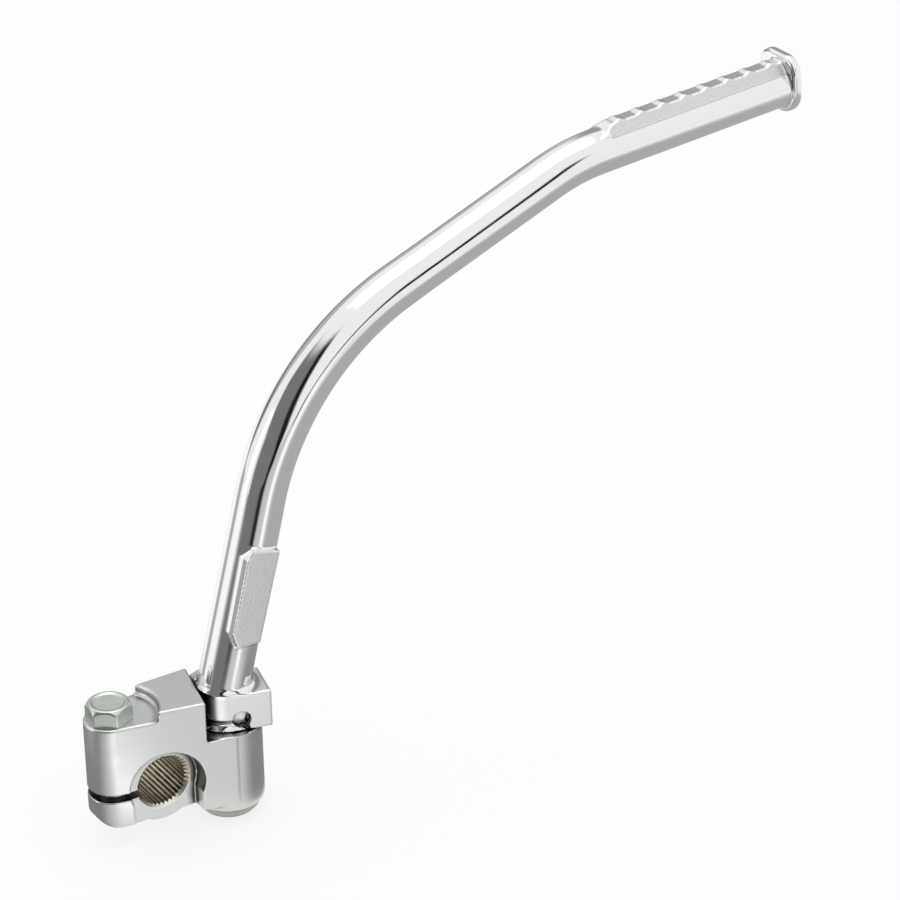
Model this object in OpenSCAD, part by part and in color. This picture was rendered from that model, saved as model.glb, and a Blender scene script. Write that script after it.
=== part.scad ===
// Folding kick start lever for a motorcycle, in millimetres.
// A splined clamp knuckle grips the kick shaft, and a forged arm folds about an upright spindle in the knuckle.
// Origin: on the splined bore's axis, in the plane of the pinch bolt. -Y is outboard. Z runs along the spindle.
// The arm is drawn folded, in the plane square to the bore.

/* [Splined bore] */
// Radius at the tips of the spline teeth
spline_tip_r = 7.2; // [6.6:0.05:7.3]
// Depth of a groove between two teeth
spline_depth = 0.6; // [0.4:0.05:0.65]
// Number of teeth
spline_count = 36; // [24:1:40]
// Share of the pitch that a tooth's land takes
spline_land = 0.44; // [0.38:0.01:0.6]
// Distance from the bolt's plane to the bore's outboard rim
bore_front = 7.6; // [7.5:0.1:8.5]
// Distance from the bolt's plane to the bore's rim at the engine side
bore_back = 12.4; // [9:0.1:14]
// Radial width of the lead-in chamfer beyond the grooves
bore_chamfer = 0.6; // [0.3:0.05:0.8]
// Outer radius of the hub round the bore at the engine side
hub_r = 11; // [10:0.1:11.5]

/* [Pinch clamp] */
// Distance from the bore's axis to the pinch bolt's axis
bolt_offset = 12.1; // [12.1:0.1:14]
// Radius of the rounded lobe round the bolt
lobe_r = 7.5; // [7:0.1:8]
// Height of the bolt's seat above the bore's axis
seat_z = 21.8; // [19:0.1:23]
// Depth of the lobe's underside below the bore's axis
lobe_bottom = 10.8; // [9.5:0.1:12]
// Radius of the lobe's lower corner
lobe_corner_r = 5; // [3:0.1:6]
// Outer radius of the wall under the bore
under_bore_r = 12.1; // [11.6:0.1:13]
// Distance from the bolt's plane to the forging's flat back
back_y = 7.6; // [7.5:0.1:8.5]
// Width of the pinch slit
slit_w = 2.3; // [1:0.1:3]
// Height of the slit's middle, from the bore's axis
slit_z = -1.05; // [-2:0.05:1]
// Radius of the round recess milled round the bore
recess_r = 10.8; // [9.5:0.1:11.5]

/* [Pinch bolt] */
// Thread radius
bolt_r = 4; // [3:0.05:4]
// Clearance round the bolt
bolt_clear = 0.05; // [0.05:0.01:0.1]
// Head width across its flats
bolt_flats = 12; // [10:0.1:13]
// Head height
bolt_head_h = 5.3; // [4:0.1:6.5]
// Turn of the head as tightened
head_turn = 23; // [0:1:60]
// Radius of the head's top after its chamfer
head_top_r = 5.8; // [5.5:0.1:6.2]

/* [Stop block] */
// Height of the stop block's top above the bore's axis
block_top = 24.8; // [23.5:0.1:27]
// Turn of the front face and of the stop face about the spindle's direction
face_turn = 13.6; // [10:0.1:16]
// Distance from the spindle's axis to the stop face
stop_dist = 8.3; // [8.3:0.05:8.8]
// Radius of the scallop that clears the bolt's head
scallop_r = 14.3; // [13:0.1:15]

/* [Arm boss] */
// Spindle axis, from the bore's axis
spindle_x = 22.4; // [22.2:0.1:24]
// Spindle axis, outboard of the bore's middle
spindle_out = 4.7; // [4:0.1:5.5]
// Outer radius of the boss
boss_r = 10.6; // [10:0.1:11]
// Height of the boss's top face above the bore's axis
boss_top = 11.8; // [11:0.1:13]
// Depth of the boss's underside below the bore's axis
boss_bottom = 14.2; // [13:0.1:16]
// Radius of the boss's lower edge
boss_edge_r = 2.6; // [1:0.1:3]

/* [Spindle and retainer] */
// Spindle radius
spindle_r = 6.4; // [5.5:0.05:6.6]
// Running clearance round the spindle
spindle_clear = 0.04; // [0.02:0.01:0.08]
// Axial clearance of the collar and of the washer
axial_clear = 0.1; // [0.05:0.01:0.2]
// Washer thickness
washer_t = 1.2; // [0.8:0.1:1.6]
// Washer outer radius
washer_r = 8.8; // [8:0.1:9.4]
// Circlip thickness
clip_t = 1.2; // [0.8:0.1:1.5]
// Depth of the circlip's groove
clip_groove = 0.5; // [0.3:0.05:0.7]
// Radial width of the circlip
clip_w = 1.7; // [1.3:0.1:2]
// Width of the circlip's gap
clip_gap = 2.4; // [1.6:0.1:3]
// Radius of the circlip's two lugs
lug_r = 1.5; // [1.2:0.1:1.6]
// Radius of the pliers' holes in the lugs
lug_hole_r = 0.6; // [0.4:0.05:0.7]
// Length of spindle below the circlip's groove
spindle_lip = 0.8; // [0.5:0.1:1.5]

/* [Collar] */
// Height of the collar
collar_h = 11.8; // [10:0.1:13]
// Distance from the spindle's axis to the two working flats
collar_flat = 8.2; // [7.9:0.05:8.2]
// Radius of the collar's back
collar_r = 11.4; // [10.5:0.1:12]
// Distance from the spindle's axis to the outer side
collar_side = 11.8; // [11:0.1:12.5]
// Length of the blend from collar to bar
collar_blend = 3.4; // [2:0.1:4]

/* [Detent] */
// Ball radius
ball_r = 1.98; // [1.8:0.01:2.05]
// Height of the ball above the collar's underside
ball_z = 2.3; // [2.2:0.1:3]
// Distance of the ball from the spindle's axis, along the stop face
ball_side = 2.9; // [2.4:0.1:3.4]
// Depth of the ball track in the collar's rounded corner
track_depth = 1; // [0.8:0.05:1.3]
// Clearance between ball and track
track_clear = 0.12; // [0.08:0.01:0.2]
// Radius of the two seats at the ends of the track
seat_r = 2.7; // [2.3:0.05:2.8]
// Height of the seats' middle above the ball's
seat_rise = 1.3; // [1:0.1:1.8]
// Depth of the seats below the flats
seat_depth = 2.6; // [1.8:0.1:3]
// Travel of the ball into its hole
ball_travel = 0.8; // [0.5:0.1:1]
// Clearance between ball and hole
ball_clear = 0.06; // [0.03:0.01:0.1]
// Length of the spring as fitted
spring_len = 6.5; // [5:0.1:8]
// Radius of the spring's wire
spring_wire_r = 0.35; // [0.25:0.05:0.45]
// Turns of the spring
spring_turns = 6; // [4:1:7]

/* [Arm] */
// Radius of the bar where it leaves the collar
bar_root_r = 7.6; // [7:0.05:8]
// Radius of the bar through the main bend
bar_mid_r = 7.25; // [6.8:0.05:7.5]
// Radius of the bar at the pedal
bar_end_r = 6.7; // [6.3:0.05:7]
// Lean of the lower bar from the spindle's direction
bar_lean = 14.6; // [8:0.1:20]
// Length of the lower straight, from the collar's top
lower_len = 58; // [45:0.5:80]
// Radius of the main bend's centre line
main_bend_r = 78; // [50:1:110]
// Angle of the main bend
main_bend = 53.6; // [40:0.1:62]
// Length of the upper straight
upper_len = 55; // [35:0.5:80]
// Radius of the pedal bend's centre line
pedal_bend_r = 58; // [40:1:80]
// Angle of the pedal bend
pedal_bend = 16.8; // [5:0.1:25]

/* [Pedal] */
// Length of the pedal, from its bend to the end flange's outer face
pedal_len = 68; // [50:0.5:85]
// Width of the tread block
tread_w = 11.2; // [9:0.1:12.5]
// Height of the tread's floor above the bar's axis
tread_h = 7.4; // [6.9:0.1:8.2]
// Height of a tread ridge
ridge_h = 1.1; // [0.6:0.1:1.6]
// Spacing of the ridges
ridge_pitch = 7.1; // [5.5:0.1:9]
// Number of ridges
ridge_count = 8; // [5:1:8]
// Radius of the end flange
flange_r = 8.4; // [7.8:0.1:9]
// Height of the flange's lip above the bar's axis
flange_top = 10.8; // [10:0.1:12]
// Thickness of the flange
flange_t = 3; // [2:0.1:4]
// Radius of the flange's upper corners
flange_corner_r = 4; // [2.5:0.1:5]

/* [Raised pad] */
// Length of the pad on the lower bar
pad_len = 30; // [20:0.5:34]
// Width of the pad
pad_w = 10; // [8:0.1:11]
// Height of the pad's face in front of the bar's axis
pad_face = 8.5; // [8.3:0.1:9.2]
// Distance of the pad's lower end from the collar's top
pad_from = 15; // [8:0.5:20]

/* [Hidden] */
$fn = 64;
eps = 0.01;
over = 1;
spline_root_r = spline_tip_r + spline_depth;
lead_r = spline_root_r + bore_chamfer;
// The lead-in cone ends just inside the tooth tips
lead_len = lead_r - spline_tip_r + 0.1;
spindle = [spindle_x, -spindle_out];
bolt = [-bolt_offset, 0];
// Direction of the line through bolt and spindle, and of the face that touches lobe and boss from the front
gap_len = norm(spindle - bolt);
line_dir = atan2(spindle[1], spindle[0] + bolt_offset);
front_dir = line_dir - asin((boss_r - lobe_r) / gap_len);
front_out = [sin(front_dir), -cos(front_dir)];
knuckle_low = under_bore_r;
// The front face lies this far inside the boss's side
face_inset = 0.15;
// Half the width over which the recess runs out at the bottom
recess_open = recess_r * 0.93;
collar_low = boss_top + axial_clear;
collar_top = collar_low + collar_h;
washer_top = -boss_bottom - axial_clear;
clip_top = washer_top - washer_t - axial_clear / 2;
spindle_end = clip_top - clip_t - spindle_lip;
clip_seat_r = spindle_r - clip_groove;
// The ball runs on a circle about the spindle, so that the collar can turn past it
track_r = collar_flat - track_depth + ball_r + track_clear;
ball_in = sqrt(track_r * track_r - ball_side * ball_side);
ball_abs_z = collar_low + ball_z;
seat_abs_z = ball_abs_z + seat_rise;
// The track runs on past the ball at each end by this angle
track_past = 14;
ball_hole_r = ball_r + ball_clear;
spring_start = ball_in + ball_r + ball_travel + 0.05;
spring_r = ball_hole_r - spring_wire_r - 0.1;
ball_hole_end = spring_start + spring_len + 0.05;
track_from = 180 + asin(ball_side / track_r);
track_to = 270 + asin(ball_side / track_r);
bolt_len = seat_z + lobe_bottom;
// Distances along the bar's centre line, from the collar's top
bar_root = [spindle_x, collar_top];
main_start = lower_len;
main_end = main_start + main_bend_r * main_bend * PI / 180;
pedal_turn = main_end + upper_len;
pedal_start = pedal_turn + pedal_bend_r * pedal_bend * PI / 180;

// Children are placed in the spindle's frame, turned with the stop face
module at_spindle(turned = true) {
    translate([spindle[0], spindle[1], 0]) rotate([0, 0, turned ? -face_turn : 0]) children();
}

module at_bolt() {
    translate([bolt[0], bolt[1], 0]) children();
}

// An outline in X and Z, carried along Y from one value to another
module along_y(y_from, y_to) {
    translate([0, y_to, 0]) rotate([90, 0, 0]) linear_extrude(y_to - y_from) children();
}

// Points of an arc about a centre, from one direction to another
function arc(centre, r, from, to, steps) =
    [for (i = [0 : steps]) let (t = from + (to - from) * i / steps) centre + r * [cos(t), sin(t)]];

// Plan of the knuckle: the round lobe, the face that touches lobe and boss from the front, and a flat back
module knuckle_plan() {
    touch = front_dir - 90;
    polygon(concat(
        arc(bolt, lobe_r, 90, 360 + touch, 20),
        [
            spindle + (boss_r - face_inset) * front_out,
            spindle + [0, boss_r - face_inset],
            [spindle[0] - stop_dist + (back_y + spindle_out) * tan(face_turn), back_y]
        ]
    ));
}

// Side view of the clamp: seat, stop block, rounded lower corner and the round wall under the bore
module knuckle_side() {
    left = bolt[0] - lobe_r - over;
    meet = asin(lobe_bottom / under_bore_r);
    polygon(concat(
        arc([left + over + lobe_corner_r, -lobe_bottom + lobe_corner_r], lobe_corner_r, 180, 270, 8),
        arc([0, 0], under_bore_r, 180 + meet, 360 - meet, 10),
        [[spindle[0], -lobe_bottom], [spindle[0], block_top], [left, block_top], [left, 0], [left + over, 0]]
    ));
}

// Boss for the spindle, with a rounded lower edge
module boss_solid() {
    at_spindle(false) rotate_extrude() polygon(concat(
        [[0, -boss_bottom]],
        arc([boss_r - boss_edge_r, -boss_bottom + boss_edge_r], boss_edge_r, 270, 360, 5),
        [[boss_r, boss_top], [0, boss_top]]
    ));
}

// Space cut out of the block for the bolt's head and for the arm's collar
module knuckle_clearances() {
    at_bolt() translate([0, 0, seat_z]) cylinder(h = block_top, r = scallop_r);
    translate([bolt[0] - 2 * lobe_r, -2 * lobe_r, seat_z]) cube([2 * lobe_r, 4 * lobe_r, block_top]);
    at_spindle() translate([-stop_dist, -3 * boss_r, boss_top]) cube([4 * boss_r, 6 * boss_r, block_top]);
}

// Splined bore: a true cylinder at the tooth tips, and one star of grooves
module splined_bore() {
    pitch = 360 / spline_count;
    half = pitch * (1 - spline_land) / 2;
    inner = spline_tip_r - 0.15;
    along_y(-bore_front - over, bore_back + over) circle(r = spline_tip_r);
    along_y(-bore_front - over, bore_back + over) polygon([
        for (i = [0 : spline_count - 1], k = [-1 : 1])
            let (r = k == 0 ? spline_root_r : inner, a = i * pitch + k * half * 1.1)
            [r * cos(a), r * sin(a)]
    ]);
}

// Lead-in cone at one end of the bore
module bore_lead(rim_y, side) {
    translate([0, rim_y + side * eps, 0]) rotate([side * 90, 0, 0])
        cylinder(h = lead_len, r1 = lead_r, r2 = lead_r - lead_len);
}

module ball_hole() {
    at_spindle() translate([-ball_hole_end, -ball_side, ball_abs_z]) rotate([0, 90, 0])
        cylinder(h = ball_hole_end - stop_dist + over, r = ball_hole_r);
}

module clamp_knuckle() {
    color([0.78, 0.79, 0.78]) difference() {
        union() {
            intersection() {
                translate([0, 0, -knuckle_low - over]) linear_extrude(2 * block_top + knuckle_low) knuckle_plan();
                along_y(-3 * boss_r, back_y) knuckle_side();
            }
            boss_solid();
            along_y(0, bore_back) circle(r = hub_r);
        }
        knuckle_clearances();
        // Recess round the bore, open to the front
        along_y(-4 * boss_r, -bore_front) circle(r = recess_r);
        along_y(-4 * boss_r, -bore_front) translate([-recess_open, -2 * recess_r]) square([2 * recess_open, 2 * recess_r]);
        splined_bore();
        bore_lead(bore_back, 1);
        bore_lead(-bore_front, -1);
        translate([bolt[0] - 2 * lobe_r, -2 * lobe_r, slit_z - slit_w / 2]) cube([2 * lobe_r + bolt_offset, 4 * lobe_r, slit_w]);
        at_bolt() translate([0, 0, -lobe_bottom - over]) cylinder(h = bolt_len + 2 * over, r = bolt_r + bolt_clear);
        at_spindle() translate([0, 0, -boss_bottom - over])
            cylinder(h = boss_top + boss_bottom + 2 * over, r = spindle_r + spindle_clear);
        ball_hole();
    }
}

// Plan of the collar in the turned frame: two flats at right angles, joined by a corner that is round about the axis
module collar_plan() {
    difference() {
        union() {
            circle(r = collar_r);
            translate([0, -collar_flat]) square([collar_side, collar_flat]);
            translate([0, -collar_flat]) square([collar_side, collar_flat + collar_r / 2]);
        }
        translate([-2 * collar_r, -2 * collar_r]) square([2 * collar_r - collar_flat, 4 * collar_r]);
        translate([-2 * collar_r, -2 * collar_r]) square([4 * collar_r, 2 * collar_r - collar_flat]);
        difference() {
            translate([-2 * collar_r, -2 * collar_r]) square(2 * collar_r);
            circle(r = collar_flat);
        }
    }
}

// Groove for the ball round the corner, with a deeper seat at each end
module ball_track() {
    rotate([0, 0, track_from - track_past]) rotate_extrude(angle = track_to - track_from + 2 * track_past)
        translate([track_r, ball_abs_z]) circle(r = ball_r + track_clear);
    translate([-collar_flat - over, -ball_side, seat_abs_z]) rotate([0, 90, 0]) cylinder(h = seat_depth + over, r = seat_r);
    translate([ball_side, -collar_flat + seat_depth, seat_abs_z]) rotate([90, 0, 0]) cylinder(h = seat_depth + over, r = seat_r);
}

// The bar's centre line in X and Z: a straight, the main bend, a straight, the pedal bend and the pedal
function step_on(point, turn, length) = point + length * [sin(turn), cos(turn)];
function turn_on(point, turn, r, by) = point + r * [cos(turn) - cos(turn + by), sin(turn + by) - sin(turn)];
function part_of(s, from, to) = min(1, max(0, (s - from) / (to - from)));
function bar_turn(s) =
    bar_lean + main_bend * part_of(s, main_start, main_end) + pedal_bend * part_of(s, pedal_turn, pedal_start);
function bar_point(s) =
    s < main_start ? step_on(bar_root, bar_lean, s)
    : s < main_end ? turn_on(bar_point(main_start - eps), bar_lean, main_bend_r, bar_turn(s) - bar_lean)
    : s < pedal_turn ? step_on(bar_point(main_end - eps), bar_turn(main_end), s - main_end)
    : s < pedal_start ? turn_on(bar_point(pedal_turn - eps), bar_turn(pedal_turn), pedal_bend_r, bar_turn(s) - bar_turn(pedal_turn))
    : step_on(bar_point(pedal_start - eps), bar_turn(pedal_start), s - pedal_start);
// Full at the root, then slimmer through the main bend, and even from there
function bar_r(s) =
    bar_root_r + (bar_mid_r - bar_root_r) * part_of(s, 0, main_start)
    + (bar_end_r - bar_mid_r) * part_of(s, main_start + (main_end - main_start) / 3, main_end + 10);

module at_bar(s) {
    translate([bar_point(s)[0], -spindle_out, bar_point(s)[1]]) rotate([0, bar_turn(s), 0]) children();
}

// Rings of points along the centre line, joined by faces
module bar(from, to) {
    sides = 36;
    rings = concat(
        [from, main_start / 2],
        [for (i = [0 : 16]) main_start + (main_end - main_start) * i / 16],
        [(main_end + pedal_turn) / 2],
        [for (i = [0 : 6]) pedal_turn + (pedal_start - pedal_turn) * i / 6],
        [to]
    );
    last = len(rings) - 1;
    points = [
        for (s = rings, k = [0 : sides - 1])
            let (p = bar_point(s), t = bar_turn(s), r = bar_r(s), a = 360 * k / sides)
            [p[0] + r * cos(a) * cos(t), -spindle_out + r * sin(a), p[1] - r * cos(a) * sin(t)]
    ];
    faces = concat(
        [[for (k = [0 : sides - 1]) k]],
        [[for (k = [sides - 1 : -1 : 0]) last * sides + k]],
        [
            for (i = [0 : last - 1], k = [0 : sides - 1])
                let (n = (k + 1) % sides)
                [i * sides + k, (i + 1) * sides + k, (i + 1) * sides + n, i * sides + n]
        ]
    );
    polyhedron(points, faces, convexity = 4);
}

// Pedal: tread block with ridges on the bar's upper side, and the end flange
module pedal() {
    // In this frame the pedal runs along Z, and its upper side is -X
    block_len = pedal_len - flange_t / 2 - ridge_pitch / 2;
    translate([-tread_h, -tread_w / 2, ridge_pitch / 2]) cube([tread_h, tread_w, block_len]);
    for (i = [0 : ridge_count - 1])
        translate([-tread_h, 0, ridge_pitch * (i + 1)]) rotate([90, 0, 0]) translate([0, 0, -tread_w / 2])
            linear_extrude(tread_w) polygon([[0.2, -ridge_h * 1.6], [-ridge_h, -ridge_h * 0.4], [-ridge_h, ridge_h * 0.4], [0.2, ridge_h * 1.6]]);
    translate([0, 0, pedal_len - flange_t]) linear_extrude(flange_t) hull() {
        circle(r = flange_r, $fn = 32);
        for (s = [-1, 1]) translate([-flange_top + flange_corner_r, s * (tread_w - flange_corner_r) / 2])
            circle(r = flange_corner_r, $fn = 32);
    }
}

// Raised pad on the lower bar, facing outboard
module pad() {
    translate([0, 0, pad_from]) rotate([90, 0, 0]) linear_extrude(pad_face) polygon([
        [-pad_w / 2 - 0.5, 4], [-pad_w / 2 + 2, 0], [pad_w / 2 - 1, 1.5], [pad_w / 2 - 0.5, pad_len],
        [-pad_w / 2 + 1, pad_len], [-pad_w / 2 - 0.5, pad_len - 3]
    ]);
}

module kick_arm() {
    color([0.85, 0.86, 0.86]) {
        difference() {
            union() {
                at_spindle() translate([0, 0, collar_low]) linear_extrude(collar_h) collar_plan();
                at_spindle(false) translate([0, 0, spindle_end]) cylinder(h = collar_low - spindle_end + over, r = spindle_r);
                bar(-3, pedal_start + pedal_len - flange_t / 2);
                intersection() {
                    at_bar(0) translate([0, 0, -collar_blend / 2])
                        cylinder(h = 1.5 * collar_blend, r1 = bar_root_r + collar_blend * 0.75, r2 = bar_root_r - 0.4);
                    at_spindle() translate([0, 0, collar_low]) linear_extrude(2 * collar_h) collar_plan();
                }
                at_bar(0) pad();
                at_bar(pedal_start) pedal();
            }
            at_spindle() ball_track();
            at_spindle(false) translate([0, 0, clip_top - clip_t - axial_clear / 4]) difference() {
                cylinder(h = clip_t + axial_clear / 2, r = spindle_r + over);
                translate([0, 0, -over]) cylinder(h = clip_t + 3 * over, r = clip_seat_r);
            }
        }
    }
}

// Hex bolt, seated on the lobe and flush with its underside
module pinch_bolt() {
    color([0.70, 0.74, 0.70]) at_bolt() {
        translate([0, 0, seat_z - bolt_len]) cylinder(h = bolt_len + eps, r = bolt_r);
        intersection() {
            translate([0, 0, seat_z]) rotate([0, 0, head_turn])
                cylinder(h = bolt_head_h, r = bolt_flats / sqrt(3), $fn = 6);
            translate([0, 0, seat_z]) cylinder(h = bolt_head_h, r1 = head_top_r + bolt_head_h * 0.64, r2 = head_top_r);
        }
    }
}

module thrust_washer() {
    color([0.62, 0.62, 0.58]) at_spindle(false) translate([0, 0, washer_top - washer_t]) difference() {
        cylinder(h = washer_t, r = washer_r);
        translate([0, 0, -over]) cylinder(h = washer_t + 2 * over, r = spindle_r + spindle_clear);
    }
}

// Circlip in its groove, open at the back, with two lugs
module circlip() {
    inner = clip_seat_r + 0.05;
    lug_x = clip_gap / 2 + lug_r - 0.3;
    lug_y = inner + clip_w;
    color([0.55, 0.55, 0.50]) at_spindle(false) translate([0, 0, clip_top - clip_t]) {
        difference() {
            union() {
                cylinder(h = clip_t, r = inner + clip_w);
                for (s = [-1, 1]) translate([s * lug_x, lug_y, 0]) cylinder(h = clip_t, r = lug_r);
            }
            translate([0, 0, -over]) cylinder(h = clip_t + 2 * over, r = inner);
            translate([-clip_gap / 2, 0, -over]) cube([clip_gap, 3 * washer_r, clip_t + 2 * over]);
            for (s = [-1, 1]) translate([s * (lug_x + 0.1), lug_y + 0.1, -over])
                cylinder(h = clip_t + 2 * over, r = lug_hole_r);
        }
    }
}

module detent_ball() {
    color([0.8, 0.8, 0.82]) at_spindle() translate([-ball_in, -ball_side, ball_abs_z]) sphere(r = ball_r);
}

// Coil spring behind the ball: a wire of eight sides swept along a helix
module detent_spring() {
    sides = 8;
    steps = 12 * spring_turns;
    rise = spring_len - 2 * spring_wire_r;
    points = [
        for (i = [0 : steps], k = [0 : sides - 1])
            let (
                a = 360 * spring_turns * i / steps,
                c = spring_r + spring_wire_r * cos(360 * k / sides),
                h = spring_wire_r + rise * i / steps + spring_wire_r * sin(360 * k / sides)
            )
            [c * cos(a), c * sin(a), h]
    ];
    faces = concat(
        [[for (k = [0 : sides - 1]) k]],
        [[for (k = [sides - 1 : -1 : 0]) steps * sides + k]],
        [
            for (i = [0 : steps - 1], k = [0 : sides - 1])
                let (n = (k + 1) % sides)
                [i * sides + k, (i + 1) * sides + k, (i + 1) * sides + n, i * sides + n]
        ]
    );
    color([0.5, 0.5, 0.5]) at_spindle() translate([-spring_start, -ball_side, ball_abs_z]) rotate([0, -90, 0])
        polyhedron(points, faces, convexity = 6);
}

clamp_knuckle();
kick_arm();
pinch_bolt();
thrust_washer();
circlip();
detent_ball();
detent_spring();
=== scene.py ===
# %% [markdown]
# # A folding kick start lever
# The lever has three large forged pieces in chrome: a clamp knuckle, an arm with a collar, and on the arm a
# pedal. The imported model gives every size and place. This file gives the pieces their soft forged edges,
# their finishes and their light, and everything stays in the model's frame, in metres.

# %% Load the fixed frame
import math

import bpy
import numpy as np
from mathutils import Matrix, Vector


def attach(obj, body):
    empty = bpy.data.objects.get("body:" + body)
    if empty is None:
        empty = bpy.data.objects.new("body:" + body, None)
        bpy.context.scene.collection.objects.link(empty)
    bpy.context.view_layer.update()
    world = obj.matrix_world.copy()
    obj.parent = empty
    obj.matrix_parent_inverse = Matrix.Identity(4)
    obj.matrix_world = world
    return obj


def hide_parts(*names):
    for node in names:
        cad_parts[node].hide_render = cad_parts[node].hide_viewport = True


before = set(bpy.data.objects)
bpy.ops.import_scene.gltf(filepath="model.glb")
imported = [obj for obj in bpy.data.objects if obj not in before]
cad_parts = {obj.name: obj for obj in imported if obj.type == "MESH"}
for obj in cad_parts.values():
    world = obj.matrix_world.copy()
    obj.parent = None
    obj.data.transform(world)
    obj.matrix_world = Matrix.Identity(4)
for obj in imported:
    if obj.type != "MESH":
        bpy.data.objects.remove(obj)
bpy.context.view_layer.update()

# %% [markdown]
# ## The lever's main sizes
# These are the sizes that the forgings were modelled with, in millimetres. They are repeated here because
# the soft surfaces below follow the same lines as the plain solids. Only the tread and the end flange differ
# from those, as the pedal's own cell says.

# %% Sizes in millimetres
MM = 0.001
TIP_R, ROOT_R, LEAD_R, TEETH, LAND = 7.2, 7.8, 8.4, 36, 0.44
BORE_FRONT, BORE_BACK, HUB_R = 7.6, 12.4, 11.0
BOLT_X, LOBE_R, SEAT_Z, LOBE_LOW, LOBE_CORNER = -12.1, 7.5, 21.8, 10.8, 5.0
UNDER_R, SLIT_W, SLIT_Z, RECESS_R = 12.1, 2.3, -1.05, 10.8
BACK_Y, BLOCK_TOP, FACE_TURN, STOP, SCALLOP_R = 7.6, 24.8, math.radians(13.6), 8.3, 14.3
SPINDLE_X, SPINDLE_Y, BOSS_R, BOSS_TOP, BOSS_LOW, BOSS_EDGE = 22.4, -4.7, 10.6, 11.8, 14.2, 2.6
SPINDLE_R, SPINDLE_LOW = 6.4, -17.55
COLLAR_LOW, COLLAR_TOP, COLLAR_FLAT, COLLAR_R, COLLAR_SIDE = 11.9, 23.7, 8.2, 11.4, 11.8
BALL_R, BALL_SIDE, BALL_Z, TRACK_R, SEAT_R, SEAT_RISE, SEAT_DEPTH = 1.98, 2.9, 14.2, 9.3, 2.7, 1.3, 2.6
BAR_ROOT_R, BAR_MID_R, BAR_END_R = 7.6, 7.25, 6.7
LEAN, MAIN_BEND, PEDAL_BEND = math.radians(14.6), math.radians(53.6), math.radians(16.8)
LOWER_LEN, MAIN_R, UPPER_LEN, PEDAL_R, PEDAL_LEN = 58.0, 78.0, 55.0, 58.0, 68.0
TREAD_FOOT_W, TREAD_TOP_W, TREAD_H, RIDGE_H, RIDGE_PITCH, RIDGES = 9.0, 4.2, 7.9, 0.55, 7.7, 8
FLANGE_R, FLANGE_TOP, FLANGE_T, FLANGE_CORNER = 8.4, 10.3, 3.0, 5.4
PAD_LEN, PAD_FACE, PAD_FROM = 30.0, 8.5, 15.0
print("bore", 2 * TIP_R, "mm across the tooth tips, bar", 2 * BAR_ROOT_R, "mm at its root")

# %% [markdown]
# ## Forged forms from a distance function
# A forging has no sharp edge and no sharp inner corner. Bevelling a mesh of cut solids leaves seams that a
# mirror finish shows at once, so the forgings are made from a distance function instead: a formula that says
# how far a point lies outside (above zero) or inside (below zero) the metal. Two forms join or cut with a
# rounded corner of a chosen radius, and the surface is drawn where the formula is zero.

# %% Rounded joins and cuts
def join(a, b, r):
    """Union with a hollow fillet of radius r: the larger of r and the nearer distance, less the length of
    the two amounts by which each distance falls below r."""
    u, v = np.maximum(r - a, 0), np.maximum(r - b, 0)
    return np.maximum(r, np.minimum(a, b)) - np.sqrt(u * u + v * v)


def common(a, b, r):
    """Intersection with a rounded edge of radius r: the mirror image of join."""
    return -join(-a, -b, r)


def cut(a, b, r):
    """What is left of form a when form b is cut from it, with the edge rounded to radius r."""
    return common(a, -b, r)


# %% Distances to the simple forms
def outline(points, x, y):
    """Signed distance to a closed outline. The distance to each side is that to the nearest point of the
    side; a point is inside where a ray from it crosses the outline an odd number of times."""
    p = np.asarray(points, float)
    q = np.roll(p, -1, axis=0)
    x, y = np.broadcast_arrays(x, y)
    best, inside = np.full(x.shape, 1e9), np.zeros(x.shape, bool)
    for (ax, ay), (bx, by) in zip(p, q):
        ex, ey = bx - ax, by - ay
        t = np.clip(((x - ax) * ex + (y - ay) * ey) / (ex * ex + ey * ey), 0, 1)
        best = np.minimum(best, (x - ax - t * ex) ** 2 + (y - ay - t * ey) ** 2)
        if ey:
            inside ^= ((ay > y) != (by > y)) & (x < ax + (y - ay) * ex / ey)
    return np.where(inside, -1, 1) * np.sqrt(best)


def round_bar(u, v, r):
    """Distance to an endless round bar: the distance from its axis, less its radius."""
    return np.sqrt(u * u + v * v) - r


def slab(t, low, high):
    """Distance to the space between two parallel planes: the distance from the middle plane, less half the
    width."""
    return np.abs(t - (low + high) / 2) - (high - low) / 2


def arc(cx, cy, r, start, end, steps=40):
    """Points of an arc about (cx, cy), from one direction to another in degrees."""
    t = np.radians(np.linspace(start, end, steps))
    return np.stack([cx + r * np.cos(t), cy + r * np.sin(t)], axis=1)


# %% Draw the surface where the distance is zero
# The cube corners round a cell, and the twelve edges that join them
CORNERS = np.array([[i, j, k] for i in (0, 1) for j in (0, 1) for k in (0, 1)])
EDGES = [(a, b) for a in range(8) for b in range(a + 1, 8) if np.abs(CORNERS[a] - CORNERS[b]).sum() == 1]


def slope(distance, p, h=0.01):
    """Direction in which the distance grows, from differences over a small step, as unit vectors."""
    g = np.stack([distance(*(p + h * d).T) - distance(*(p - h * d).T) for d in np.eye(3)], axis=1)
    return g / np.maximum(np.linalg.norm(g, axis=1, keepdims=True), 1e-9)


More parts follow.
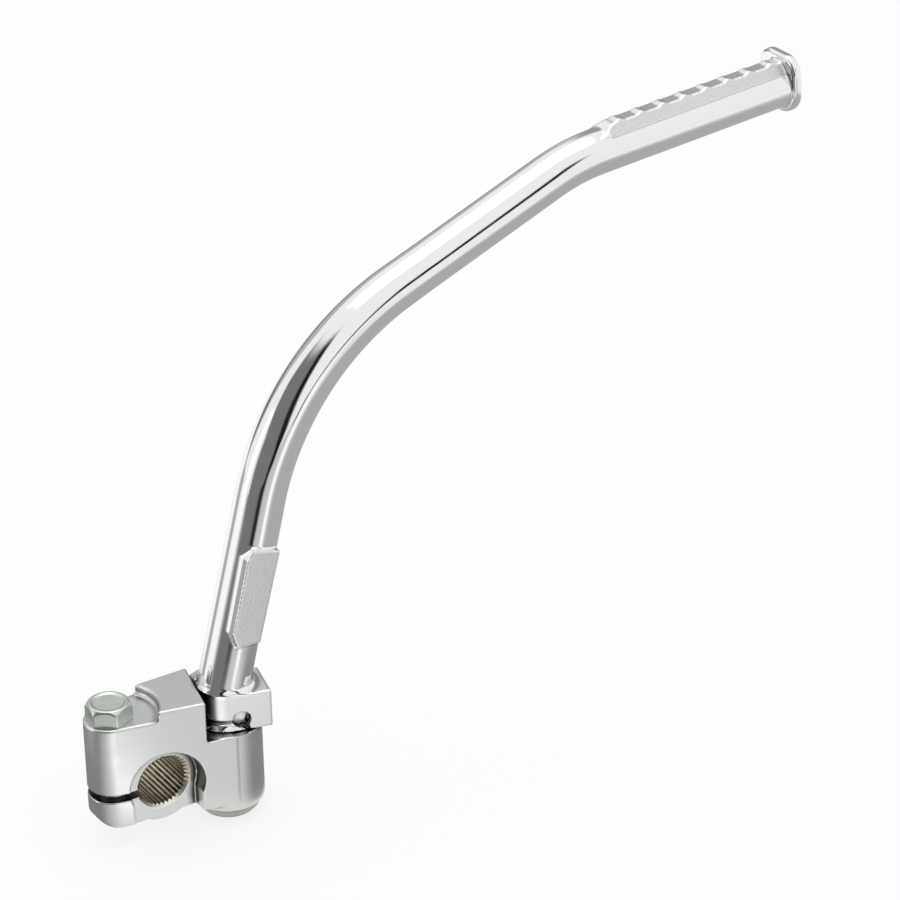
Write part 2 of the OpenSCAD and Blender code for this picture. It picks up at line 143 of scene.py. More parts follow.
def draw_surface(distance, low, high, step):
    """One point in each grid cell that the surface crosses: the mean of the crossings on the cell's edges,
    where the distance runs through zero in a straight line, then moved along the slope by the distance that
    is left. The four cells round each crossed grid edge are joined by a face. Returns points in mm and
    faces."""
    axes = [np.arange(lo, hi + step, step) for lo, hi in zip(low, high)]
    f = distance(axes[0][:, None, None], axes[1][None, :, None], axes[2][None, None, :])
    n = np.array(f.shape) - 1
    inside = f < 0
    corner = [f[tuple(slice(c, c + m) for c, m in zip(k, n))] for k in CORNERS]
    sign = [c < 0 for c in corner]
    crossed = np.logical_or.reduce(sign) & ~np.logical_and.reduce(sign)
    cell = np.argwhere(crossed)
    values = np.stack([c[crossed] for c in corner], axis=1)
    total, count = np.zeros((len(cell), 3)), np.zeros((len(cell), 1))
    for a, b in EDGES:
        va, vb = values[:, a], values[:, b]
        hit = (va < 0) != (vb < 0)
        t = np.where(hit, va / np.where(hit, va - vb, 1), 0)[:, None]
        total += hit[:, None] * (CORNERS[a] + t * (CORNERS[b] - CORNERS[a]))
        count += hit[:, None]
    points = np.array(low) + (cell + total / count) * step
    for _ in range(3):
        d = np.clip(distance(*points.T), -step / 2, step / 2)
        points -= d[:, None] * slope(distance, points)
    number = np.full(n, -1)
    number[tuple(cell.T)] = np.arange(len(cell))
    faces = []
    for axis in range(3):
        one, two = [a for a in range(3) if a != axis]
        here = tuple(slice(1, -1) if a != axis else slice(0, -1) for a in range(3))
        there = tuple(slice(1, -1) if a != axis else slice(1, None) for a in range(3))
        for flip in (False, True):
            e = np.argwhere((inside[here] != flip) & (inside[there] == flip))
            e[:, [one, two]] += 1
            ring = []
            for a, b in ((0, 0), (1, 0), (1, 1), (0, 1)):
                c = e.copy()
                c[:, one] -= a
                c[:, two] -= b
                ring.append(number[tuple(c.T)])
            if flip != (axis == 1):
                ring.reverse()
            faces.append(np.stack(ring, axis=1))
    faces = np.concatenate(faces)
    return points, faces


# %% Put points and faces into Blender
# Faces that meet at more than this are shaded as an edge
EDGE_TURN = math.radians(50)


def make_piece(name, points, faces, body):
    """Smooth mesh from points in millimetres and one or more arrays of faces, riding on a body of the
    frame."""
    blocks = faces if isinstance(faces, list) else [faces]
    size = np.concatenate([np.full(len(b), b.shape[1]) for b in blocks])
    mesh = bpy.data.meshes.new(name)
    mesh.vertices.add(len(points))
    mesh.vertices.foreach_set("co", (np.asarray(points) * MM).ravel())
    mesh.loops.add(int(size.sum()))
    mesh.loops.foreach_set("vertex_index", np.concatenate([b.ravel() for b in blocks]))
    mesh.polygons.add(len(size))
    mesh.polygons.foreach_set("loop_start", np.cumsum(size) - size)
    mesh.update(calc_edges=True)
    mesh.validate()
    mesh.shade_smooth()
    mesh.set_sharp_from_angle(angle=EDGE_TURN)
    piece = bpy.data.objects.new(name, mesh)
    bpy.context.collection.objects.link(piece)
    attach(piece, body)
    print(name, len(points), "points", int((size - 2).sum()), "triangles")
    return piece


def set_values(piece, name, values):
    """One number a point, kept on the mesh under a name, for the piece's finish to read."""
    attribute = piece.data.attributes.new(name, "FLOAT", "POINT")
    attribute.data.foreach_set("value", np.ravel(values).astype(np.float32))
    print(piece.name, name, "mean", round(float(values.mean()), 3), "most", round(float(values.max()), 3))


def grid_faces(rows, cols):
    """Quads of a grid of rows that close on themselves, each row followed by the next."""
    i, k = np.meshgrid(np.arange(rows - 1), np.arange(cols), indexing="ij")
    n = (k + 1) % cols
    corners = [i * cols + k, i * cols + n, (i + 1) * cols + n, (i + 1) * cols + k]
    return np.stack(corners, axis=-1).reshape(-1, 4)


# %% [markdown]
# ## The clamp knuckle
# The knuckle is one forging, machined on its seat, stop face and recess. Its plan is a lobe round the pinch
# bolt and a flat front face that runs out to the arm's boss. The side view gives the seat, the stop block
# and the round wall under the bore. Both outlines are carried through each other, the boss and the rear hub
# are joined on, and the recess, slit and holes are cut out.

# %% Knuckle outlines
spindle = np.array([SPINDLE_X, SPINDLE_Y])
lobe = np.array([BOLT_X, 0.0])
line_turn = math.atan2(SPINDLE_Y, SPINDLE_X - BOLT_X)
front_turn = line_turn - math.asin((BOSS_R - LOBE_R) / np.linalg.norm(spindle - lobe))
front_out = np.array([math.sin(front_turn), -math.cos(front_turn)])
PLAN = np.vstack([
    arc(*lobe, LOBE_R, 90, 270 + math.degrees(front_turn)),
    spindle + BOSS_R * front_out,
    spindle + (0, BOSS_R - 0.15),
    (SPINDLE_X - STOP + (BACK_Y - SPINDLE_Y) * math.tan(FACE_TURN), BACK_Y),
])
meet = math.degrees(math.asin(LOBE_LOW / UNDER_R))
LEFT = BOLT_X - LOBE_R
SIDE = np.vstack([
    (LEFT - 1, 0),
    (LEFT, 0),
    arc(LEFT + LOBE_CORNER, -LOBE_LOW + LOBE_CORNER, LOBE_CORNER, 180, 270, 12),
    arc(0, 0, UNDER_R, 180 + meet, 360 - meet, 24),
    (SPINDLE_X, -LOBE_LOW),
    (SPINDLE_X, BLOCK_TOP),
    (LEFT - 1, BLOCK_TOP),
])
BOSS = np.vstack([
    (-BOSS_R, -BOSS_LOW),
    arc(BOSS_R - BOSS_EDGE, -BOSS_LOW + BOSS_EDGE, BOSS_EDGE, 270, 360, 10),
    (BOSS_R, BOSS_TOP),
    (-BOSS_R, BOSS_TOP),
])
print("outlines:", len(PLAN), "points in plan,", len(SIDE), "from the side,", len(BOSS), "round the boss")

# %% Knuckle distance
# Radius of the bolt's hole, the room round the splined lining, the spindle and the ball, and where the
# ball's hole begins and ends on the way to the spindle
BOLT_HOLE_R, LINING_GAP, SPINDLE_GAP, BALL_GAP = 4.05, 0.05, 0.04, 0.06
BALL_HOLE_FROM, BALL_HOLE_TO = -18.2, -7.0
# Below the bore the recess runs straight down, this much narrower than its round. The lead-in cone is this
# deep.
RECESS_SHARE, LEAD_DEPTH = 0.93, 0.9


def turned(x, y):
    """The same place seen from the spindle's axis, turned with the stop face."""
    dx, dy = x - SPINDLE_X, y - SPINDLE_Y
    c, s = math.cos(FACE_TURN), math.sin(FACE_TURN)
    return dx * c - dy * s, dx * s + dy * c


def knuckle_distance(x, y, z):
    """Plan and side outlines in common, joined with boss and hub, less the clearances, recess, slit and
    holes. The last number of each join, common and cut is the rounding's radius."""
    tx, ty = turned(x, y)
    from_spindle = np.hypot(x - SPINDLE_X, y - SPINDLE_Y)
    block = common(outline(PLAN, x, y), outline(SIDE, x, z), 0.7)
    collar_room = common(-(tx + STOP), BOSS_TOP - z, 0.5)
    block = cut(block, collar_room, 0.45)
    head_room = common(SEAT_Z - z, np.minimum(round_bar(x - BOLT_X, y, SCALLOP_R), x - BOLT_X), 1.2)
    block = cut(block, head_room, 0.5)
    boss = common(outline(BOSS, from_spindle, z), from_spindle - BOSS_R, 0.35)
    metal = join(block, boss, 0.8)
    hub = common(round_bar(x, z, HUB_R), slab(y, 0, BORE_BACK), 0.6)
    metal = join(metal, hub, 1.0)
    recess = join(round_bar(x, z, RECESS_R), np.maximum(np.abs(x) - RECESS_SHARE * RECESS_R, z), 0.1)
    metal = cut(metal, common(recess, y + BORE_FRONT, 0.5), 0.45)
    lead = round_bar(x, z, LEAD_R) + np.clip(np.minimum(y + BORE_FRONT, BORE_BACK - y), 0, LEAD_DEPTH)
    bore = np.minimum(round_bar(x, z, ROOT_R + LINING_GAP), lead)
    metal = cut(metal, bore, 0.15)
    slit = np.maximum(slab(z, SLIT_Z - SLIT_W / 2, SLIT_Z + SLIT_W / 2), x)
    metal = cut(metal, slit, 0.3)
    metal = cut(metal, round_bar(x - BOLT_X, y, BOLT_HOLE_R), 0.2)
    metal = cut(metal, from_spindle - SPINDLE_R - SPINDLE_GAP, 0.2)
    hole = round_bar(ty + BALL_SIDE, z - BALL_Z, BALL_R + BALL_GAP)
    ball_hole = np.maximum(hole, slab(tx, BALL_HOLE_FROM, BALL_HOLE_TO))
    return cut(metal, ball_hole, 0.15)


# %% Knuckle surface
points, faces = draw_surface(knuckle_distance, low=(-20.6, -16.3, -15.2), high=(34.0, 13.4, 25.8), step=0.36)
knuckle = make_piece("knuckle_forging", points, faces, "knuckle")
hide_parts("clamp_knuckle")

# %% [markdown]
# ## The splined bore
# The teeth grip the kick shaft. They are cut after plating, so the bore is bare steel with a brown oil film,
# and a painted highlight lies along the middle of each tooth and on the tooth ends at the lower rim. The
# lining is one surface of two parameters, the turn about the bore's axis and the way along it. Its radius
# grows in each groove, and again where the lead-in cone opens the tooth ends.

# %% Splined lining
def tooth_radius(turn):
    """Tip radius on the lands. In a groove it grows evenly to the root radius at the groove's middle."""
    pitch = 2 * np.pi / TEETH
    half = pitch * (1 - LAND) / 2
    off = np.abs((turn + pitch / 2) % pitch - pitch / 2)
    return TIP_R + (ROOT_R - TIP_R) * np.clip(1 - off / half, 0, 1)


# The lining stops at the slit's two sides, and this far inside the rims
SHY = 0.02
slit_high, slit_low = SLIT_Z + SLIT_W / 2, SLIT_Z - SLIT_W / 2
turn_from, turn_to = -math.pi - math.asin(slit_low / ROOT_R), math.pi - math.asin(slit_high / ROOT_R)
turn = np.linspace(turn_from, turn_to, 900)[:, None]
# Rows stand close together in the lead-in cones, and a few are enough between them
ends = np.linspace(SHY, 1.4, 14)
along = np.concatenate([-BORE_FRONT + ends, np.linspace(-5, 10, 6), BORE_BACK - ends[::-1]])[None, :]
cone = LEAD_R - LINING_GAP - np.minimum(along + BORE_FRONT, BORE_BACK - along)
radius = np.maximum(tooth_radius(turn), cone)
# Two more rows inside the knuckle's metal close the lining from behind
radius = np.hstack([radius, np.full((len(turn), 2), LEAD_R + 0.3)])
along = np.hstack([along, [[BORE_BACK - SHY, -BORE_FRONT + SHY]]]) + 0 * radius
points = np.stack([radius * np.cos(turn), along, radius * np.sin(turn)], axis=-1)
rows, cols = radius.shape
wall = grid_faces(rows, cols)
caps = np.stack([np.arange(cols)[::-1], (rows - 1) * cols + np.arange(cols)])
lining = make_piece("splined_lining", points.reshape(-1, 3), [wall, caps], "knuckle")
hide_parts("clamp_knuckle")
# A thin painted highlight runs along the middle of each tooth
pitch = 2 * np.pi / TEETH
from_land = np.abs(turn % pitch - pitch / 2)
set_values(lining, "tooth_highlight", np.clip(1 - from_land / (0.2 * pitch), 0, 1) + 0 * radius)

# %% [markdown]
# ## The arm, from collar to pedal
# The arm is one forging. Its collar and raised pad, and its tread and end flange, have many small edges, so
# they are drawn from a distance function. The bar between them is a circle carried along the centre line,
# whose radius shrinks a little on the way.

# %% Centre line of the bar
def share(s, start, end):
    """How much of the way from start to end has been passed, from 0 to 1."""
    return np.clip((s - start) / (end - start), 0, 1)


bend_start, bend_end = LOWER_LEN, LOWER_LEN + MAIN_R * MAIN_BEND
turn_start = bend_end + UPPER_LEN
pedal_start = turn_start + PEDAL_R * PEDAL_BEND
# Distances along the bar, a twentieth of a millimetre apart, at which its place is worked out
fine = np.linspace(-10, pedal_start + PEDAL_LEN, 6000)


def bar_turn(s):
    """Angle of the bar from upright: the lean, plus each bend as far as it has been passed."""
    return LEAN + MAIN_BEND * share(s, bend_start, bend_end) + PEDAL_BEND * share(s, turn_start, pedal_start)


def bar_radius(s):
    """Radius of the bar, shrinking in two straight stretches."""
    slim = share(s, bend_start + (bend_end - bend_start) / 3, bend_end + 10)
    return BAR_ROOT_R + (BAR_MID_R - BAR_ROOT_R) * share(s, 0, bend_start) + (BAR_END_R - BAR_MID_R) * slim


# The place along the bar is the sum of small moves in the bar's direction, from the collar's top
middle = (fine[1:] + fine[:-1]) / 2
moves = np.diff(fine)[:, None] * np.stack([np.sin(bar_turn(middle)), np.cos(bar_turn(middle))], axis=1)
path = np.vstack([[0, 0], np.cumsum(moves, axis=0)])
path -= [np.interp(0, fine, path[:, 0]), np.interp(0, fine, path[:, 1])]
path += [SPINDLE_X, COLLAR_TOP]


def bar_point(s):
    """X and Z of the centre line at a distance s from the collar's top."""
    return np.interp(s, fine, path[:, 0]), np.interp(s, fine, path[:, 1])


print("pedal starts at", np.round(bar_point(pedal_start), 2), "mm")

# %% Collar outline, seen along the spindle
back_turn = math.degrees(math.acos(-COLLAR_FLAT / COLLAR_R))
COLLAR = np.vstack([
    arc(0, 0, COLLAR_FLAT, 180, 270, 40),
    (COLLAR_SIDE, -COLLAR_FLAT),
    (COLLAR_SIDE, COLLAR_R / 2),
    arc(0, 0, COLLAR_R, 30, back_turn, 40),
])
# The pad's corners: across the bar, and along it from the pad's lower end
PAD = [(-5.5, 4), (-3, 0), (4, 1.5), (4.5, PAD_LEN), (-4, PAD_LEN), (-5.5, PAD_LEN - 3)]
print("outlines:", len(COLLAR), "points round the collar,", len(PAD), "round the pad")

# %% Collar and lower bar distance
# The bar is drawn with the collar from inside it up to here, and as a tube beyond
BAR_FOOT, BAR_JOIN = -5.0, 50.0
# Below this height the fillet round the bar stays within the collar's outline
FILLET_FREE_Z = 29.0
# The circlip's groove, and the ball's track with the room round the ball
GROOVE_LOW, GROOVE_HIGH, GROOVE_DEPTH = -16.78, -15.52, 0.5
TRACK_START, TRACK_END, TRACK_GAP = math.radians(184.2), math.radians(302.2), 0.12


def collar_distance(x, y, z):
    """Collar, lower bar and pad joined, less the ball track with its two seats and the circlip's groove."""
    tx, ty = turned(x, y)
    dx, dy, dz = x - SPINDLE_X, y - SPINDLE_Y, z - COLLAR_TOP
    from_spindle = np.hypot(dx, dy)
    s = dx * math.sin(LEAN) + dz * math.cos(LEAN)
    w = dx * math.cos(LEAN) - dz * math.sin(LEAN)
    plan = outline(COLLAR, tx, ty)
    collar = common(plan, slab(z, COLLAR_LOW, COLLAR_TOP), 0.55)
    bar = np.maximum(round_bar(w, dy, bar_radius(s)), slab(s, BAR_FOOT, BAR_JOIN + 1))
    metal = join(collar, bar, 2.4)
    metal = np.maximum(metal, plan - np.maximum(z - FILLET_FREE_Z, 0))
    pad = common(outline(PAD, w, s - PAD_FROM), slab(dy, -PAD_FACE, 0), 0.35)
    metal = join(metal, pad, 0.7)
    stem = common(from_spindle - SPINDLE_R, slab(z, SPINDLE_LOW, COLLAR_LOW + 2), 0.4)
    metal = join(metal, stem, 0.3)
    groove = common(SPINDLE_R - GROOVE_DEPTH - from_spindle, slab(z, GROOVE_LOW, GROOVE_HIGH), 0.1)
    metal = cut(metal, groove, 0.05)
    a, b = TRACK_START, TRACK_END
    fan = np.maximum(tx * math.sin(a) - ty * math.cos(a), ty * math.cos(b) - tx * math.sin(b))
    track = np.maximum(np.hypot(from_spindle - TRACK_R, z - BALL_Z) - BALL_R - TRACK_GAP, fan)
    seat_z = z - BALL_Z - SEAT_RISE
    seat_one = np.maximum(round_bar(ty + BALL_SIDE, seat_z, SEAT_R), tx + COLLAR_FLAT - SEAT_DEPTH)
    seat_two = np.maximum(round_bar(tx - BALL_SIDE, seat_z, SEAT_R), ty + COLLAR_FLAT - SEAT_DEPTH)
    return cut(metal, np.minimum(track, np.minimum(seat_one, seat_two)), 0.22)


points, faces = draw_surface(collar_distance, low=(12.0, -18.2, -18.2), high=(46.0, 9.0, 75.5), step=0.38)
print("collar and pad:", len(points), "points")

# %% Bar between pad and pedal
# The tube stands a hair proud, so that it covers the ends of the two drawn pieces
BAR_ROWS, BAR_SIDES, BAR_PROUD = 150, 96, 0.012
s = np.linspace(BAR_JOIN, pedal_start, BAR_ROWS)[:, None]
around = np.linspace(0, 2 * np.pi, BAR_SIDES, endpoint=False)[None, :]
bx, bz = bar_point(s)
r = bar_radius(s) + BAR_PROUD
ring = np.stack([
    bx + r * np.cos(around) * np.cos(bar_turn(s)),
    SPINDLE_Y + r * np.sin(around) + 0 * s,
    bz - r * np.cos(around) * np.sin(bar_turn(s)),
], axis=-1)
bar_faces = grid_faces(*ring.shape[:2])
first = np.arange(BAR_SIDES)
bar_ends = np.stack([first[::-1], (BAR_ROWS - 1) * BAR_SIDES + first])
print("bar:", BAR_ROWS, "rings of", BAR_SIDES, "points")

# %% [markdown]
# ## The pedal
# The tread is narrow at its top and slopes down to the bar on both sides, and it rises out of the bar in a
# soft ramp. The plain solid has an upright block there, with the same top and end, so this section is this
# file's own.

# %% End flange outline
# The lip's two corner circles touch the large round, and touch is the direction in which they do
corner = np.array([-FLANGE_TOP + FLANGE_CORNER, FLANGE_R - FLANGE_CORNER])
corner_off = np.linalg.norm(corner)
touch = math.degrees(math.atan2(corner[1], corner[0]) - math.acos((FLANGE_R - FLANGE_CORNER) / corner_off))
FLANGE = np.vstack([
    arc(0, 0, FLANGE_R, -touch, touch, 60),
    arc(corner[0], corner[1], FLANGE_CORNER, touch, 180, 16),
    arc(corner[0], -corner[1], FLANGE_CORNER, 180, 360 - touch, 16),
])
print("flange outline:", len(FLANGE), "points")

# %% Pedal distance
RAMP_LEN, RAMP_FOOT, RIDGE_HALF = 6.0, 5.4, 2.1
# The bar and the tread both start a little before the pedal, and end inside the flange
ROD_FROM, TREAD_FROM, TREAD_TO = -0.8, -0.6, PEDAL_LEN - FLANGE_T / 2
# The sloping side reaches its full width at this height above the bar's axis
SIDE_FOOT_H = 5.2
side_slope = (TREAD_FOOT_W - TREAD_TOP_W) / 2 / (TREAD_H - SIDE_FOOT_H)
print("the tread's side grows", round(side_slope, 2), "mm wider a millimetre down")


def ramp_rise(s):
    """How far the tread has risen out of the bar, from 0 to 1, along half a cosine wave. The rise begins
    half a millimetre before the pedal does."""
    return (1 - np.cos(np.pi * np.clip((s + 0.5) / RAMP_LEN, 0, 1))) / 2


def tread_side(w, y, s):
    """Distance to the tread's sloping side, whose half width grows evenly from the top to the foot. The foot
    is half a millimetre slimmer on each side where the ramp begins."""
    foot = TREAD_FOOT_W / 2 - 0.5 * (1 - ramp_rise(s))
    half = np.minimum(TREAD_TOP_W / 2 + side_slope * (w + TREAD_H), foot)
    return (np.abs(y) - half) / math.hypot(1, side_slope)


def pedal_distance(w, y, s):
    """Round bar joined with the tread, its ridges and the flange. Here s runs along the pedal and w across
    it, with the tread at -w. Its height follows a cosine over the ramp, and so does each ridge, repeated at
    each pitch."""
    rod = np.maximum(round_bar(w, y, BAR_END_R), slab(s, ROD_FROM, TREAD_TO))
    number = np.clip(np.round(s / RIDGE_PITCH), 1, RIDGES)
    off = np.abs(s - number * RIDGE_PITCH)
    floor_h = RAMP_FOOT + (TREAD_H - RAMP_FOOT) * ramp_rise(s)
    top = -floor_h - RIDGE_H * (1 + np.cos(np.pi * np.clip(off / RIDGE_HALF, 0, 1))) / 2
    # The height above a sloping top is more than the distance to it, so it is taken a fifth smaller
    above = (top - w) * 0.8
    block = common(np.maximum(above, w), slab(s, TREAD_FROM, TREAD_TO), 0.3)
    block = common(block, tread_side(w, y, s), 0.35)
    metal = join(rod, block, 0.3)
    flange = common(outline(FLANGE, w, y), slab(s, PEDAL_LEN - FLANGE_T, PEDAL_LEN), 1.1)
    return join(metal, flange, 0.5)


# %% Pedal surface, set at the bar's end
local, pedal_faces = draw_surface(pedal_distance, low=(-12.0, -9.6, -1.4), high=(9.6, 9.6, 69.2), step=0.36)
px, pz = bar_point(pedal_start)
c, t = math.cos(float(bar_turn(pedal_start))), math.sin(float(bar_turn(pedal_start)))
pedal_points = np.stack([
    px + local[:, 0] * c + local[:, 2] * t,
    SPINDLE_Y + local[:, 1],
    pz - local[:, 0] * t + local[:, 2] * c,
], axis=1)
rings = ring.reshape(-1, 3)
offset = len(points), len(points) + len(rings)
arm = make_piece(
    "arm_forging",
    np.vstack([points, rings, pedal_points]),
    [faces, bar_faces + offset[0], bar_ends + offset[0], pedal_faces + offset[1]],
    "arm",
)
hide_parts("kick_arm")

# %% [markdown]
# ## Painted shade where the metal is closed in, and where it was milled
# The slit, the recess round the bore and the place under the collar get painted shade, where the metal is
# closed in. Painted dark by hand, the shade would slide off the shape, so each point measures how closed in
# it is from the same distance functions, and the finishes darken by that number. The collar's flats were
# milled after plating, and a second number marks them. A third marks the tread, which was left matte.

# %% Painted shade: how closed in each point is
# Heights above the surface, in millimetres, at which the room is measured
HEIGHTS = (0.7, 1.5, 3.0, 5.0)


def places(piece):
    """The piece's points in millimetres."""
    flat = np.empty(3 * len(piece.data.vertices))
    piece.data.vertices.foreach_get("co", flat)
    return flat.reshape(-1, 3) / MM


def all_metal(x, y, z):
    """Distance to knuckle or collar, whichever is nearer."""
    return np.minimum(knuckle_distance(x, y, z), collar_distance(x, y, z))


def painted_shade(at, out):
    """Painted shade, nought in the open and one in a deep gap. At a few heights above the surface, one less
    the distance to the nearest metal over the height: in the open the two are equal."""
    closed = [1 - np.clip(all_metal(*(at + h * out).T) / h, 0, 1) for h in HEIGHTS]
    return np.mean(closed, axis=0)


def near(off, reach, fade):
    """One on the surface that off is measured from, and nought past the reach, in a straight line over the
    fade."""
    return np.clip((reach - off) / fade, 0, 1)


# %% Painted shade in the closed places of the knuckle
at = places(knuckle)
closed = painted_shade(at, slope(knuckle_distance, at))
# The recess wall is painted dark as well, a painted shade on the wall of the recess
RECESS_WALL_SHADE = 0.46
wall_off = np.abs(np.hypot(at[:, 0], at[:, 2]) - RECESS_R)
recess_wall_shade = near(wall_off, 0.3, 0.15) * (at[:, 1] < -BORE_FRONT - 0.15)
set_values(knuckle, "painted_shade", np.maximum(closed, RECESS_WALL_SHADE * recess_wall_shade))

# %% Painted shade in the closed places of the arm
at = places(arm)
# Only the arm's lower end, below 40 mm, comes near other metal
low_part = at[:, 2] < 40
closed = np.zeros(len(at))
closed[low_part] = painted_shade(at[low_part], slope(collar_distance, at[low_part]))
# The pedal's points are the last ones, and a fine line of painted shade runs along the foot of the tread's
# sloping side
w, y, s = local.T
before = len(at) - len(local)
on_tread = (s > RAMP_LEN / 2) & (s < PEDAL_LEN - FLANGE_T - 0.3)
LINE_H, LINE_Y, FOOT_LINE_SHADE = 4.9, 4.6, 0.4
at_foot = np.abs(np.abs(y) - LINE_Y) < 0.5
# Painted shade along the foot of the tread's side
closed[before:] = FOOT_LINE_SHADE * np.clip(1 - np.abs(w + LINE_H) / 0.4, 0, 1) * at_foot * on_tread
set_values(arm, "painted_shade", closed)

# %% Milled flats and matte tread of the arm
# The masks end short of the rounded edges, which stay bright
wall_off = np.abs(outline(COLLAR, *turned(at[:, 0], at[:, 1])))
within = near(slab(at[:, 2], COLLAR_LOW + 0.9, COLLAR_TOP - 0.9).clip(0), 0.6, 0.3)
set_values(arm, "milled", near(wall_off, 0.16, 0.08) * within)
# Heights above the bar's axis from which the side and the top count, and how matte the rubbed top still is
SIDE_FROM, TOP_FROM, TOP_MATTE = 5.0, 7.4, 0.6
on_side = near(np.abs(tread_side(w, y, s)), 0.14, 0.08) * np.clip((-w - SIDE_FROM) / 0.3, 0, 1)
on_top = TOP_MATTE * np.clip((-w - TOP_FROM) / 0.3, 0, 1) * (np.abs(y) < 2.6)
facet = np.zeros(len(at))
facet[before:] = np.maximum(on_side, on_top) * on_tread
set_values(arm, "facet", facet)

# %% [markdown]
# ## The pinch bolt
# A zinc-plated hex bolt. Its head has a chamfered crown and a shallow dish, as cold-headed bolts have, and
# the thread shows in the slit. The thread is a groove whose depth follows the turn and the height together,
# one pitch a turn.

# %% Bolt
# Half the width across the flats, the head's height and turn, and its crown: a cone that grows by
# CROWN_SLOPE a millimetre down from CROWN_R, and a shallow dish
HEAD_FLAT, HEAD_H, HEAD_TURN = 6.0, 5.3, math.radians(23)
CROWN_R, CROWN_SLOPE, DISH_R, DISH_DEPTH = 5.75, 0.9, 4.7, 0.32
BOLT_R, PITCH, THREAD_DEPTH, THREAD_TOP = 4.0, 1.25, 0.45, 9.0


def bolt_distance(x, y, z):
    """Head: the farthest of six flats, in common with a cone, whose height is turned into a distance by the
    cosine of its slope, about 0.74. Shank: a round bar less a saw-toothed helix."""
    dx, h = x - BOLT_X, z - SEAT_Z
    r = np.hypot(dx, y)
    flats = [HEAD_TURN + math.radians(30 + 60 * k) for k in range(6)]
    hexagon = dx * math.cos(flats[0]) + y * math.sin(flats[0]) - HEAD_FLAT
    for a in flats[1:]:
        hexagon = common(hexagon, dx * math.cos(a) + y * math.sin(a) - HEAD_FLAT, 0.25)
    head = common(hexagon, slab(h, 0, HEAD_H), 0.2)
    head = common(head, (r - CROWN_R - (HEAD_H - h) * CROWN_SLOPE) * 0.74, 0.25)
    head = cut(head, common(r - DISH_R, HEAD_H - DISH_DEPTH - h, 0.3), 0.3)
    helix = np.abs(((z / PITCH + np.arctan2(y, dx) / (2 * np.pi)) % 1) - 0.5) * 2
    thread = THREAD_DEPTH * helix * (z < THREAD_TOP)
    shank = np.maximum(r - BOLT_R + thread, slab(z, -LOBE_LOW, SEAT_Z + 1))
    return join(head, shank, 0.2)


points, faces = draw_surface(bolt_distance, low=(-20.0, -7.9, -11.4), high=(-4.2, 7.9, 27.8), step=0.24)
bolt = make_piece("hex_bolt", points, faces, "knuckle")
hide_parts("pinch_bolt")

# %% [markdown]
# ## Finishes
# Every finish is metal, so its look is mostly what it mirrors, and how sharply. The arm is bright chrome,
# the knuckle is chrome over a coarser polish, and the faces that were milled or left matte mirror less
# sharply. Each finish gets a slow unevenness from hand polishing, a fine grain, and small changes of gloss.
# All patterns read the object's own coordinates, in metres, so that they stay with the metal.

# %% Helpers for node materials
def finish(name, colour, rough):
    """Principled metal with its even values on the shader's own sockets. Returns the material and its
    pieces."""
    mat = bpy.data.materials.new(name)
    mat.use_nodes = True
    nodes, links = mat.node_tree.nodes, mat.node_tree.links
    shader = nodes["Principled BSDF"]
    shader.inputs["Base Color"].default_value = (*colour, 1)
    shader.inputs["Metallic"].default_value = 1.0
    shader.inputs["Roughness"].default_value = rough
    place = nodes.new("ShaderNodeTexCoord").outputs["Object"]
    return mat, nodes, links, shader, place


def add(nodes, kind, links=None, **inputs):
    """A node of a kind, with its inputs set from numbers or linked from sockets. An input goes by its name,
    or by i and its number where two share a name."""
    node = nodes.new("ShaderNode" + kind)
    for key, value in inputs.items():
        numbered = key[0] == "i" and key[1:].isdigit()
        socket = node.inputs[int(key[1:]) if numbered else key]
        if isinstance(value, bpy.types.NodeSocket):
            links.new(value, socket)
        else:
            socket.default_value = value
    return node


def calc(nodes, links, operation, a, b):
    """One sum on two numbers or sockets."""
    node = add(nodes, "Math", links, i0=a, i1=b)
    node.operation = operation
    return node.outputs[0]


def ramp(nodes, links, value, low, high, start, end):
    """Straight change from start to end as the value goes from low to high, held at both ends."""
    node = add(nodes, "MapRange", links, Value=value)
    for key, number in (("From Min", low), ("From Max", high), ("To Min", start), ("To Max", end)):
        node.inputs[key].default_value = number
    return node.outputs["Result"]


def polish(nodes, links, shader, place, rough, spread, wave, grain):
    """Uneven polish: gloss that changes by the spread over a few millimetres, a slow wave and a fine grain
    in the surface. The wave and grain are heights in metres."""
    patch = add(nodes, "TexNoise", links, Vector=place, Scale=160.0, Detail=4.0).outputs["Fac"]
    gloss = ramp(nodes, links, patch, 0.3, 0.7, rough - spread, rough + spread)
    slow = add(nodes, "TexNoise", links, Vector=place, Scale=90.0, Detail=1.0).outputs["Fac"]
    fine = add(nodes, "TexNoise", links, Vector=place, Scale=2600.0, Detail=3.0).outputs["Fac"]
    first = add(nodes, "Bump", links, Height=slow, Distance=wave, Strength=1.0)
    second = add(nodes, "Bump", links, Height=fine, Distance=grain, Strength=1.0,
                 Normal=first.outputs["Normal"])
    links.new(second.outputs["Normal"], shader.inputs["Normal"])
    return gloss


def mesh_value(nodes, name):
    """The number that the mesh keeps under a name."""
    node = nodes.new("ShaderNodeAttribute")
    node.attribute_name = name
    return node.outputs["Fac"]


def darken(nodes, links, shader, closed, open_colour, dark_colour, low, high):
    """Base colour that runs from the open colour to the dark colour as the painted shade goes from
    low to high.
    """
    mix = add(nodes, "MixRGB", links, i0=ramp(nodes, links, closed, low, high, 0, 1))
    mix.inputs[1].default_value = (*open_colour, 1)
    mix.inputs[2].default_value = (*dark_colour, 1)
    links.new(mix.outputs["Color"], shader.inputs["Base Color"])


def part_mask(nodes, links, value, low, high):
    """One where the value lies between low and high, and nought elsewhere."""
    above = calc(nodes, links, "GREATER_THAN", value, low)
    below = calc(nodes, links, "LESS_THAN", value, high)
    return calc(nodes, links, "MULTIPLY", above, below)


